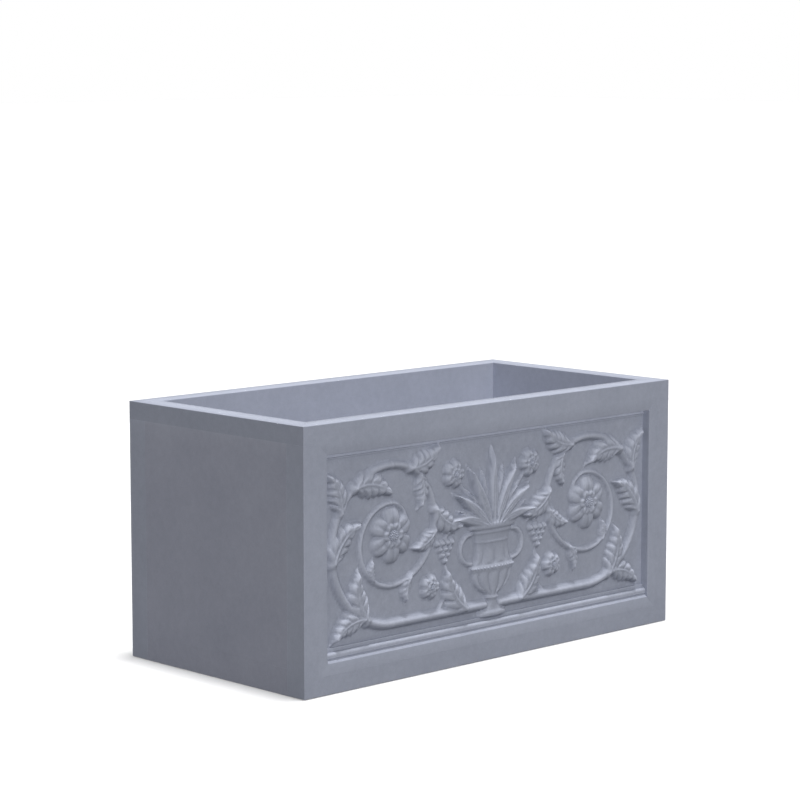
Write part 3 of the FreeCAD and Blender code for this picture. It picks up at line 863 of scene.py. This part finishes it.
def dome(at, centre, radius, height, power=2.0):
    """Round boss. A higher power gives it a flatter top."""
    return np.maximum(height * (1 - (np.abs(at - centre) / radius) ** power), DEEPEST)


def whorl(at, centre, radius, petals, crown, tilt=0.0):
    """Ring of cupped petals with a crease down each and a cleft between them."""
    reach, angle = polar(at, centre)
    place = (angle / (2 * math.pi) * petals + tilt) % 1
    cleft = np.abs(place - 0.5) * 2
    edge = radius * (1 - PETAL_NOTCH * cleft ** 2.5)
    part = np.clip(reach / edge, 0, 1)
    cup = PETAL_ROOT + (1 - PETAL_ROOT) * np.sin(math.pi * part ** 1.6)
    crease = CREASE_DEPTH * np.exp(-(cleft / CREASE_WIDTH) ** 2) * np.minimum(2 * part, 1)
    split = CLEFT_DEPTH * cleft ** 6 * part
    return crown * cup - crease - split - WALL_SLOPE * np.maximum(reach - edge, 0)


def flower(at, centre, radius, petals):
    """Two whorls round a domed eye."""
    heights = whorl(at, centre, radius, petals, FLOWER_CROWN)
    heights = blended(heights, whorl(at, centre, INNER_WHORL * radius, petals, INNER_CROWN, 0.5), FINE_BLEND)
    return blended(heights, dome(at, centre, EYE_SHARE * radius, EYE_CROWN, EYE_POWER), FINE_BLEND)


def band(level, start, start_fade, end, end_fade):
    """1 between two levels, fading to 0 at both."""
    return np.clip((level - start) / start_fade, 0, 1) * np.clip((end - level) / end_fade, 0, 1)


def urn(at):
    """Turned urn: gadroons on the bowl, a plain band, tongues up the neck and a beaded lip."""
    share = (at.imag - PLINTH) / URN_HEIGHT
    inside = np.clip(share, 0, 1)
    width = URN_HALF * np.interp(inside, URN_LEVELS, URN_WIDTHS)
    side = np.abs(at.real)
    part = np.clip(side / width, 0, 1)
    round_front = np.sqrt(1 - part ** 2)
    bearing = np.arcsin(part)
    height = URN_EDGE + (URN_CROWN - URN_EDGE) * round_front * (0.5 + 0.5 * width / URN_HALF)
    for levels, wave, number, sharpness, rise, sunk in FLUTES:
        height = height + band(inside, *levels) * (rise * np.abs(wave(number * bearing)) ** sharpness - sunk)
    for level, half, rise in URN_RINGS:
        height = height + rise * np.sqrt(np.maximum(1 - ((inside - level) / half) ** 2, 0))
    outside = np.maximum(side - width, 0) + np.abs(share - inside) * URN_HEIGHT
    return height - WALL_SLOPE * outside


def mouldings(up):
    """Plinth along the foot and fillet along the top."""
    roll_middle = PLINTH_BLOCK + PLINTH_ROLL
    splay = SILL_FRONT + (SILL_BACK - SILL_FRONT) * np.clip(up / PLINTH_BLOCK, 0, 1)
    over_middle = np.clip((up - roll_middle) / PLINTH_ROLL, 0, 1)
    rounded = ROLL_ROOT + PLINTH_ROLL * np.sqrt(1 - over_middle ** 2)
    fillet = np.clip((RECESS_HEIGHT - up) / FILLET_HEIGHT, 0, 1) * FILLET_FRONT
    roll_top, fillet_foot = roll_middle + PLINTH_ROLL, RECESS_HEIGHT - FILLET_HEIGHT
    zones = [up < PLINTH_BLOCK, up < roll_top, up < PLINTH, up > fillet_foot]
    return np.select(zones, [splay, rounded, STEP_FRONT, fillet], 0.0)


def scroll_forms(at):
    """Stem and leaves of the right half."""
    forms = [stem_line(at, complex(STEM_START, STEM_LEVEL), complex(SCROLL_ACROSS, STEM_LEVEL), STEM)]
    for turn in range(HALF_TURNS):
        thick = STEM - STEM_THINNING * turn
        forms.append(stem_arc(at, SCROLL_CENTRES[turn % 2], SCROLL - SCROLL_STEP * turn, 180 * turn - 90, 180,
                              thick, thick - STEM_THINNING))
    for turn, share, side, size in SCROLL_LEAVES:
        angle = 180 * (turn + share) - 90
        root = point_at(SCROLL_CENTRES[turn % 2], angle, SCROLL - SCROLL_STEP * turn)
        heading = angle + 90 + side * LEAF_LEAN
        crown = LEAF_CROWN * min(1, SMALL_CROWN + CROWN_GROWTH * size)
        forms.append(leaf(at, root, heading, size * LEAF, size * LEAF_HALF, side * LEAF_BEND, crown))
        forms.append(dome(at, root, LEAF_KNOT * size, crown))
    by_urn = complex(URN_HALF + STEM, STEM_LEVEL)
    return forms + [leaf(at, by_urn, FOOT_LEAF_HEADING, LEAF, LEAF_HALF, LEAF_BEND)]


def blade_row(at, place, heading, bend, length, shortening, half_width, crown):
    """Plain blades that fan out to the side, each shorter and more bent than the one before."""
    return [leaf(at, complex(place + BLADE_STEP * blade, SPRAY_ROOT), heading - BLADE_FAN * blade,
                 length - shortening * blade, half_width, -bend - BLADE_BEND * blade, crown, 1)
            for blade in range(BLADES_IN_ROW)]


def vase_forms(at):
    """Urn with its handles, and the spray that rises from it."""
    handle = complex(URN_HALF - HANDLE_IN, PLINTH + HANDLE_UP)
    forms = [urn(at), stem_arc(at, handle, HANDLE, -90, 180, HANDLE_THICK, HANDLE_THICK)]
    forms += blade_row(at, *HIGH_BLADES)
    forms.append(leaf(at, complex(0, SPRAY_ROOT), 90, MIDDLE_BLADE, MIDDLE_HALF, NEARLY_STRAIGHT, lobes=1))
    return forms + blade_row(at, *LOW_BLADES)


def tendril_forms(at):
    """Fine tendrils that carry the small flowers into the gaps, and a bunch of grapes."""
    low, high = FLOWERS[1][0], FLOWERS[2][0]
    forms = [stem_arc(at, complex(low.real, STEM_LEVEL + LOW_TENDRIL), LOW_TENDRIL, -60, -150, *LOW_THICK),
             stem_line(at, complex(HIGH_ROOT, PLINTH + URN_HEIGHT), high, HIGH_THICK),
             stem_arc(at, GRAPES - complex(GRAPE_STALK, 2), GRAPE_STALK, 0, 110, STALK_THICK, STALK_THICK)]
    for row in range(TOP_ROW):
        for berry in range(TOP_ROW - row):
            aside = berry - (TOP_ROW - 1 - row) / 2
            centre = GRAPES + GRAPE_PITCH * complex(aside, -ROW_SHARE * row)
            forms.append(dome(at, centre, BERRY_SHARE * GRAPE_PITCH, GRAPE_CROWN - GRAPE_FALL * abs(aside)))
    return forms


def carving(at):
    """Heights of the design alone at the given places of the right half."""
    heights = np.zeros(at.shape)
    for form in scroll_forms(at) + tendril_forms(at) + vase_forms(at):
        heights = blended(heights, form)
    for centre, radius, petals in FLOWERS:
        heights = blended(heights, flower(at, centre, radius, petals))
    return np.maximum(heights - BLEND / 4, 0)


def smoothed_walls(heights):
    """Takes the steps out of the steep walls and leaves the gentle forms."""
    for _ in range(WALL_PASSES):
        up, across = np.gradient(heights, GRID_PITCH)
        steep = np.clip(np.hypot(up, across) / STEEP - 0.5, 0, 1)
        padded = np.pad(heights, 1, mode="edge")
        rows = padded[:-2] + 2 * padded[1:-1] + padded[2:]
        spread = (rows[:, :-2] + 2 * rows[:, 1:-1] + rows[:, 2:]) / 16
        heights = heights + steep * (spread - heights)
    return heights


def carve():
    """Heights over the whole panel, mirrored about its middle, with the lines that they stand on."""
    half = np.linspace(0, RECESS_HALF - BED, int(RECESS_HALF / GRID_PITCH))
    edges = (PLINTH_BLOCK, PLINTH - PLINTH_STEP, PLINTH, RECESS_HEIGHT - FILLET_ROW)
    steps = [edge + shift for edge in edges for shift in (-STEP_HAIR, STEP_HAIR)]
    rows = np.linspace(BED, RECESS_HEIGHT - BED, int(RECESS_HEIGHT / GRID_PITCH))
    ups = np.unique(np.concatenate([rows, steps]))
    across, up = np.meshgrid(half, ups)
    heights = sum(carving(across + 1j * up + shift * GRID_PITCH) for shift in SAMPLES) / len(SAMPLES)
    heights = np.maximum(smoothed_walls(heights), mouldings(up))
    acrosses = np.concatenate([-half[:0:-1], half])
    return acrosses, ups, np.concatenate([heights[:, :0:-1], heights], axis=1)


def level_blocks(heights):
    """Square blocks of level ground as (row, column, size), and the size of the block over each cell."""
    rows, columns = heights.shape
    cell_size = np.ones((rows + 1, columns + 1), int)
    blocks = []
    for size in MERGED_CELLS:
        for row in range(0, rows - size, size):
            for column in range(0, columns - size, size):
                cells = cell_size[row + 1:row + size + 1, column + 1:column + size + 1]
                around = heights[max(row - 1, 0):row + size + 2, max(column - 1, 0):column + size + 2]
                if cells.max() == 1 and np.ptp(around) < LEVEL_WITHIN:
                    cells[:] = size
                    blocks.append((row, column, size))
    return blocks, cell_size


def carved_faces(heights):
    """Small faces on the carving, and a large face for each level block with its neighbours' corners."""
    rows, columns = heights.shape
    blocks, cell_size = level_blocks(heights)
    faces = []
    for row, column, size in blocks:
        far_row, far_column, steps = row + size, column + size, range(size)
        # Each side's points, the shift from a point to the neighbour's cell, and the axis along the side
        sides = (([(row, column + step) for step in steps], (-1, 0), 1),
                 ([(row + step, far_column) for step in steps], (0, 0), 0),
                 ([(far_row, far_column - step) for step in steps], (0, 0), 1),
                 ([(far_row - step, column) for step in steps], (0, -1), 0))
        faces.append([place[0] * columns + place[1]
                      for places, (down, left), axis in sides for place in places
                      if place == places[0]
                      or place[axis] % cell_size[place[0] + down + 1, place[1] + left + 1] == 0])
    small = cell_size[1:rows, 1:columns] == 1
    corner = np.arange(rows - 1)[:, None] * columns + np.arange(columns - 1)[None, :]
    rising = np.abs(heights[1:, 1:] - heights[:-1, :-1]) <= np.abs(heights[:-1, 1:] - heights[1:, :-1])
    for chosen, halves in ((small & rising, ((0, 1, columns + 1), (0, columns + 1, columns))),
                           (small & ~rising, ((0, 1, columns), (1, columns + 1, columns)))):
        for half in halves:
            faces += (corner[chosen][:, None] + np.array(half)).tolist()
    return faces


def panel_mesh(acrosses, ups, heights):
    """Closed casting: the carved face, a margin that lies behind the bead, the edges and the back."""
    across, up = np.meshgrid(acrosses, ups)
    points = [np.stack([across, up, heights], axis=2).reshape(-1, 3)]
    faces = carved_faces(heights)
    number = np.arange(heights.size).reshape(heights.shape)
    ring = np.concatenate([number[0], number[1:, -1], number[-1, -2::-1], number[-2:0:-1, 0]])
    edge = points[0][ring]
    middle = RECESS_HEIGHT / 2
    margin = edge.copy()
    margin[:, 0] *= (POCKET_HALF - BED) / (RECESS_HALF - BED)
    scale_up = (POCKET_HEIGHT - 2 * BED) / (RECESS_HEIGHT - 2 * BED)
    margin[:, 1] = middle + (edge[:, 1] - middle) * scale_up
    loops = [ring]
    for outline, level in ((edge, -HIDDEN_EDGE), (margin, -HIDDEN_EDGE), (margin, -PANEL_THICKNESS)):
        loop = outline.copy()
        loop[:, 2] = level
        loops.append(np.arange(len(ring)) + sum(len(block) for block in points))
        points.append(loop)
    for near, far in zip(loops, loops[1:]):
        strip = np.stack([near, far, np.roll(far, -1), np.roll(near, -1)], axis=1)
        faces += strip.tolist()
    faces.append(loops[-1][::-1].tolist())
    return np.concatenate(points), faces


def make_panel():
    """Carved panel with its seeds and pearls."""
    acrosses, ups, heights = carve()
    local, faces = panel_mesh(acrosses, ups, heights)
    points = np.stack([local[:, 0], PANEL_FACE - local[:, 2], RECESS_LOW + local[:, 1]], axis=1)
    used = np.unique(np.concatenate([np.array(face) for face in faces]))
    number = np.zeros(len(points), int)
    number[used] = np.arange(len(used))
    faces = [number[face].tolist() for face in faces]
    panel = piece_from("carved_panel", points[used], faces, STONE["carving"], CARVED_ANGLE)
    join_in(panel, seeds_and_pearls(), CARVED_ANGLE)
    mark_wear(panel.data, acrosses, ups, heights)
    hand_over(panel, "cast_stone", PLANTER, "relief_panel")


def on_panel(across, up, out):
    """Matrix that lays a small form on the panel: its Z points out of the front."""
    place = Matrix.Translation(Vector((across, PANEL_FACE - out, RECESS_LOW + up)) * MM)
    return place @ Matrix.Rotation(math.radians(90), 4, "X")


def seeds_and_pearls():
    """Seed heads for every flower and the pearl band of the urn, with their places."""
    seeds = seed_head_tree(STONE["carving"])
    shells = []
    for centre, radius, _ in FLOWERS:
        eye = EYE_SHARE * radius
        count = int(LEAST_SEEDS + SEEDS_PER_MM * radius)
        mesh = grown(seeds, Seeds=count, Eye_Radius=eye * MM, Eye_Height=EYE_CROWN * MM,
                     Seed_Size=SEED_FILL * SEEDED_SHARE * eye / math.sqrt(count) * MM)
        shells += [(mesh, on_panel(side * centre.real, centre.imag, -SEED_SUNK)) for side in (-1, 1)]
    pearls = grown(pearl_band_tree(STONE["carving"]))
    shells.append((pearls, on_panel(0, PLINTH + PEARL_LEVEL * URN_HEIGHT, 0)))
    return shells


def mark_wear(mesh, acrosses, ups, heights):
    """Point attribute: above zero on rubbed ridges, below zero in hollows where dust stays."""
    spread = heights.copy()
    for _ in range(WEAR_PASSES):
        spread[1:-1, 1:-1] = (spread[:-2, 1:-1] + spread[2:, 1:-1] + spread[1:-1, :-2] + spread[1:-1, 2:]) / 4
    relief = np.clip((heights - spread) / WEAR_DEPTH, -1, 1)
    along, _, levels = places_of(mesh)
    column = np.clip(np.searchsorted(acrosses, along), 0, len(acrosses) - 1)
    row = np.clip(np.searchsorted(ups, levels - RECESS_LOW), 0, len(ups) - 1)
    set_wear_and_painted_light(mesh, relief[row, column])


# Drains and pads
DRAIN_PLACES = {"left": -250.0, "right": 250.0}
OUTLET_BORE = 16.0
OUTLET_TUBE = 19.5
OUTLET_FLANGE = 31.5
OUTLET_SEAT = 45.0
OUTLET_FOOT = 3.0
OUTLET_ROUND = 1.0
FLANGE_THICKNESS = 4.0
PLUG_RADIUS = 15.7
PLUG_DEPTH = 28.0
PLUG_HOLLOW = 2.0
PLUG_ROUND = 0.8
PLUG_HEAD = 21.0
PLUG_HEAD_THICKNESS = 5.0
HEAD_DOME = 1.2
SEAL_RINGS = 3
SEAL_START = 4.0
SEAL_PITCH = 7.0
SEAL_RISE = 1.5
SEAL_GROOVE = 0.9
GRIP_HALF = 13.0
GRIP_THICK = 7.0
GRIP_HEIGHT = 12.0
GRIP_SUNK = 1.0
GRIP_ARRIS = 2.6
GRIP_LINES = (40, 16, 24)
FINGER_HALF = 7.0
FINGER_HALF_HEIGHT = 4.0
FINGER_SHARE = 0.45
PAD_ARRIS = 0.8
PAD_SOLE = 0.8


def make_outlets():
    """Flanged bushes: a soft-edged flange and a plain tube, both places in one piece."""
    flange_foot = OUTLET_SEAT - FLANGE_THICKNESS
    section = [(OUTLET_BORE, OUTLET_FOOT), (OUTLET_TUBE, OUTLET_FOOT), (OUTLET_TUBE, flange_foot),
               (OUTLET_FLANGE, flange_foot), (OUTLET_FLANGE, OUTLET_SEAT), (OUTLET_BORE, OUTLET_SEAT)]
    ring, ring_faces = lathe(softened(section, OUTLET_ROUND, closed=True), closed=True)
    points, faces = [], []
    for place in DRAIN_PLACES.values():
        faces += [tuple(corner + len(points) for corner in face) for face in ring_faces]
        points += (ring + np.array([place, 0, 0])).tolist()
    outlets = piece_from("drain_bushes", points, faces, PLASTIC)
    hand_over(outlets, "outlet_plastic", PLANTER, "drain_outlets")


def make_plugs():
    """Rubber plugs: sealing rings on the body, a domed head and a bar with hollows for two fingers."""
    foot = OUTLET_SEAT - PLUG_DEPTH
    head_top = OUTLET_SEAT + PLUG_HEAD_THICKNESS
    groove = PLUG_RADIUS - SEAL_GROOVE
    hollow = foot + PLUG_HOLLOW
    section = [(0.0, hollow), (PLUG_RADIUS - 4, hollow), (PLUG_RADIUS - 3, foot), (PLUG_RADIUS - 1, hollow)]
    for ring in range(SEAL_RINGS):
        level = foot + SEAL_START + SEAL_PITCH * ring
        section += [(groove, level), (PLUG_RADIUS, level + SEAL_RISE), (PLUG_RADIUS, level + 2 * SEAL_RISE),
                    (groove, level + 3 * SEAL_RISE)]
    section += [(groove, OUTLET_SEAT), (PLUG_HEAD, OUTLET_SEAT), (PLUG_HEAD, head_top - HEAD_DOME),
                (GRIP_HALF, head_top), (0.0, head_top)]
    body, body_faces = lathe(softened(section, PLUG_ROUND))
    low = (-GRIP_HALF, -GRIP_THICK / 2, head_top - GRIP_SUNK)
    high = (GRIP_HALF, GRIP_THICK / 2, head_top + GRIP_HEIGHT)
    grip, grip_faces = box_grid(*[np.linspace(a, b, count) for a, b, count in zip(low, high, GRIP_LINES)])
    grip = rubbed(grip, low, high, arris=GRIP_ARRIS)
    middle = (head_top + high[2]) / 2
    finger = np.exp(-(grip[:, 0] / FINGER_HALF) ** 2 - ((grip[:, 2] - middle) / FINGER_HALF_HEIGHT) ** 2)
    grip[:, 1] *= 1 - FINGER_SHARE * finger
    for side, place in DRAIN_PLACES.items():
        shift = np.array([place, 0, 0])
        plug = piece_from(side + "_plug_body", body + shift, body_faces, RUBBER)
        bar = piece_from("plug_grip", grip + shift, grip_faces, RUBBER)
        join_in(plug, [(bar.data, Matrix.Identity(4))])
        bpy.data.objects.remove(bar)
        hand_over(plug, "rubber", side + "_plug", side + "_drain_plug")


def make_pads():
    """Rubber pads: a block let into the wall and a ribbed sole."""
    ribs = sole_rib_tree(RUBBER)
    for corner in ("front_left", "front_right", "back_left", "back_right"):
        low, high = [np.array(point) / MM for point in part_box(corner + "_pad")]
        block_low = low + np.array([0, 0, PAD_SOLE])
        points, faces = slab(tuple(block_low), tuple(high), arris=PAD_ARRIS)
        pad = piece_from(corner + "_ribbed_pad", points, faces, RUBBER)
        mesh = grown(ribs)
        across = (low[0] + high[0] - np.ptp(places_of(mesh)[0]) + SOLE_RIB_WIDTH) / 2
        place = Vector((across, (low[1] + high[1]) / 2, SOLE_RIB_DEPTH / 2)) * MM
        join_in(pad, [(mesh, Matrix.Translation(place))])
        hand_over(pad, "rubber", PLANTER, corner + "_pad")


# Stage and camera. The floor's half width and the camera's place and range are in metres.
FLOOR_HALF = 40.0
FLOOR_DROP = 0.1
SKY_STRENGTH = 0.17
# Softboxes: direction that each shines from, strength, spread in degrees and whether it throws shadows
SOFTBOXES = {
    "overhead": ((0.05, -0.055, 1.0), 2.62, 10.0, True),
    "camera_side": ((-0.165, -0.365, 0.25), 1.77, 30.0, False),
    "left_side": ((-1.0, 0.0, 0.15), 0.16, 30.0, False),
    "back_side": ((0.3, 1.0, 0.05), 0.62, 30.0, True),
    "right_side": ((1.0, 0.35, 0.05), 0.45, 30.0, True),
}
CAMERA_PLACE = (-3.71288, -3.84197, 1.18028)
CAMERA_AHEAD = (0.687128, 0.714842, -0.129831)
CAMERA_LENS = 122.45
CAMERA_SENSOR = 36.0
CAMERA_RANGE = 200.0


def make_stage():
    """Wide white floor, and a world that is white to the eye and plainer to the stone."""
    floor_mesh = bpy.data.meshes.new("studio_floor")
    level = -FLOOR_DROP * MM
    corners = [(-1, -1), (1, -1), (1, 1), (-1, 1)]
    floor_mesh.from_pydata([(x * FLOOR_HALF, y * FLOOR_HALF, level) for x, y in corners], [], [(0, 1, 2, 3)])
    floor = put("studio_floor", floor_mesh)
    material, tree, shader = new_material("matt_white_paper")
    # A Mix node has its colours on the sockets 6 and 7, and gives one on socket 2
    tone = add(tree, "ShaderNodeMix", {0: seen_by_eye(tree), 6: linear("#606060"), 7: linear("#F4F4F4")},
               data_type="RGBA")
    tree.links.new(tone.outputs[2], shader.inputs["Base Color"])
    shader.inputs["Roughness"].default_value = 0.9
    shader.inputs["Specular IOR Level"].default_value = 0.0
    floor_mesh.materials.append(material)

    world = bpy.data.worlds.new("studio")
    world.use_nodes = True
    bpy.context.scene.world = world
    tree = world.node_tree
    back = tree.nodes["Background"]
    sky = {"Value": seen_by_eye(tree), "To Min": SKY_STRENGTH, "To Max": 1.0}
    strength = add(tree, "ShaderNodeMapRange", sky)
    back.inputs["Color"].default_value = (1, 1, 1, 1)
    tree.links.new(strength.outputs[0], back.inputs["Strength"])


def make_light():
    """A softbox overhead and a low one on each side."""
    for name, (shines_from, strength, spread, shadow) in SOFTBOXES.items():
        lamp = bpy.data.lights.new(name + "_softbox", "SUN")
        lamp.energy = strength
        lamp.angle = math.radians(spread)
        lamp.use_shadow = shadow
        softbox = put(name + "_softbox", lamp)
        softbox.rotation_euler = Vector(shines_from).to_track_quat("Z", "Y").to_euler()


def make_camera():
    """Long lens at the picture's own angle, from the left front corner and a little above."""
    lens = bpy.data.cameras.new("camera")
    lens.sensor_width = CAMERA_SENSOR
    lens.lens = CAMERA_LENS
    lens.clip_end = CAMERA_RANGE
    camera = put("camera", lens)
    camera.location = CAMERA_PLACE
    camera.rotation_euler = Vector(CAMERA_AHEAD).to_track_quat("-Z", "Y").to_euler()
    bpy.context.scene.camera = camera


def dress_cad():
    """Better materials for the CAD nodes that stay as they are."""
    finishes = {"base_slab": STONE["foot"]}
    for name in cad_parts:
        if name.endswith(("_cramp", "_dowels")):
            finishes[name] = STEEL
    for name, material in finishes.items():
        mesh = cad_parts[name].data
        mesh.materials.clear()
        mesh.materials.append(material)


make_walls()
make_rim()
make_bead()
make_panel()
make_outlets()
make_plugs()
make_pads()
dress_cad()
make_stage()
make_light()
make_camera()
bpy.context.scene.view_settings.view_transform = "Standard"
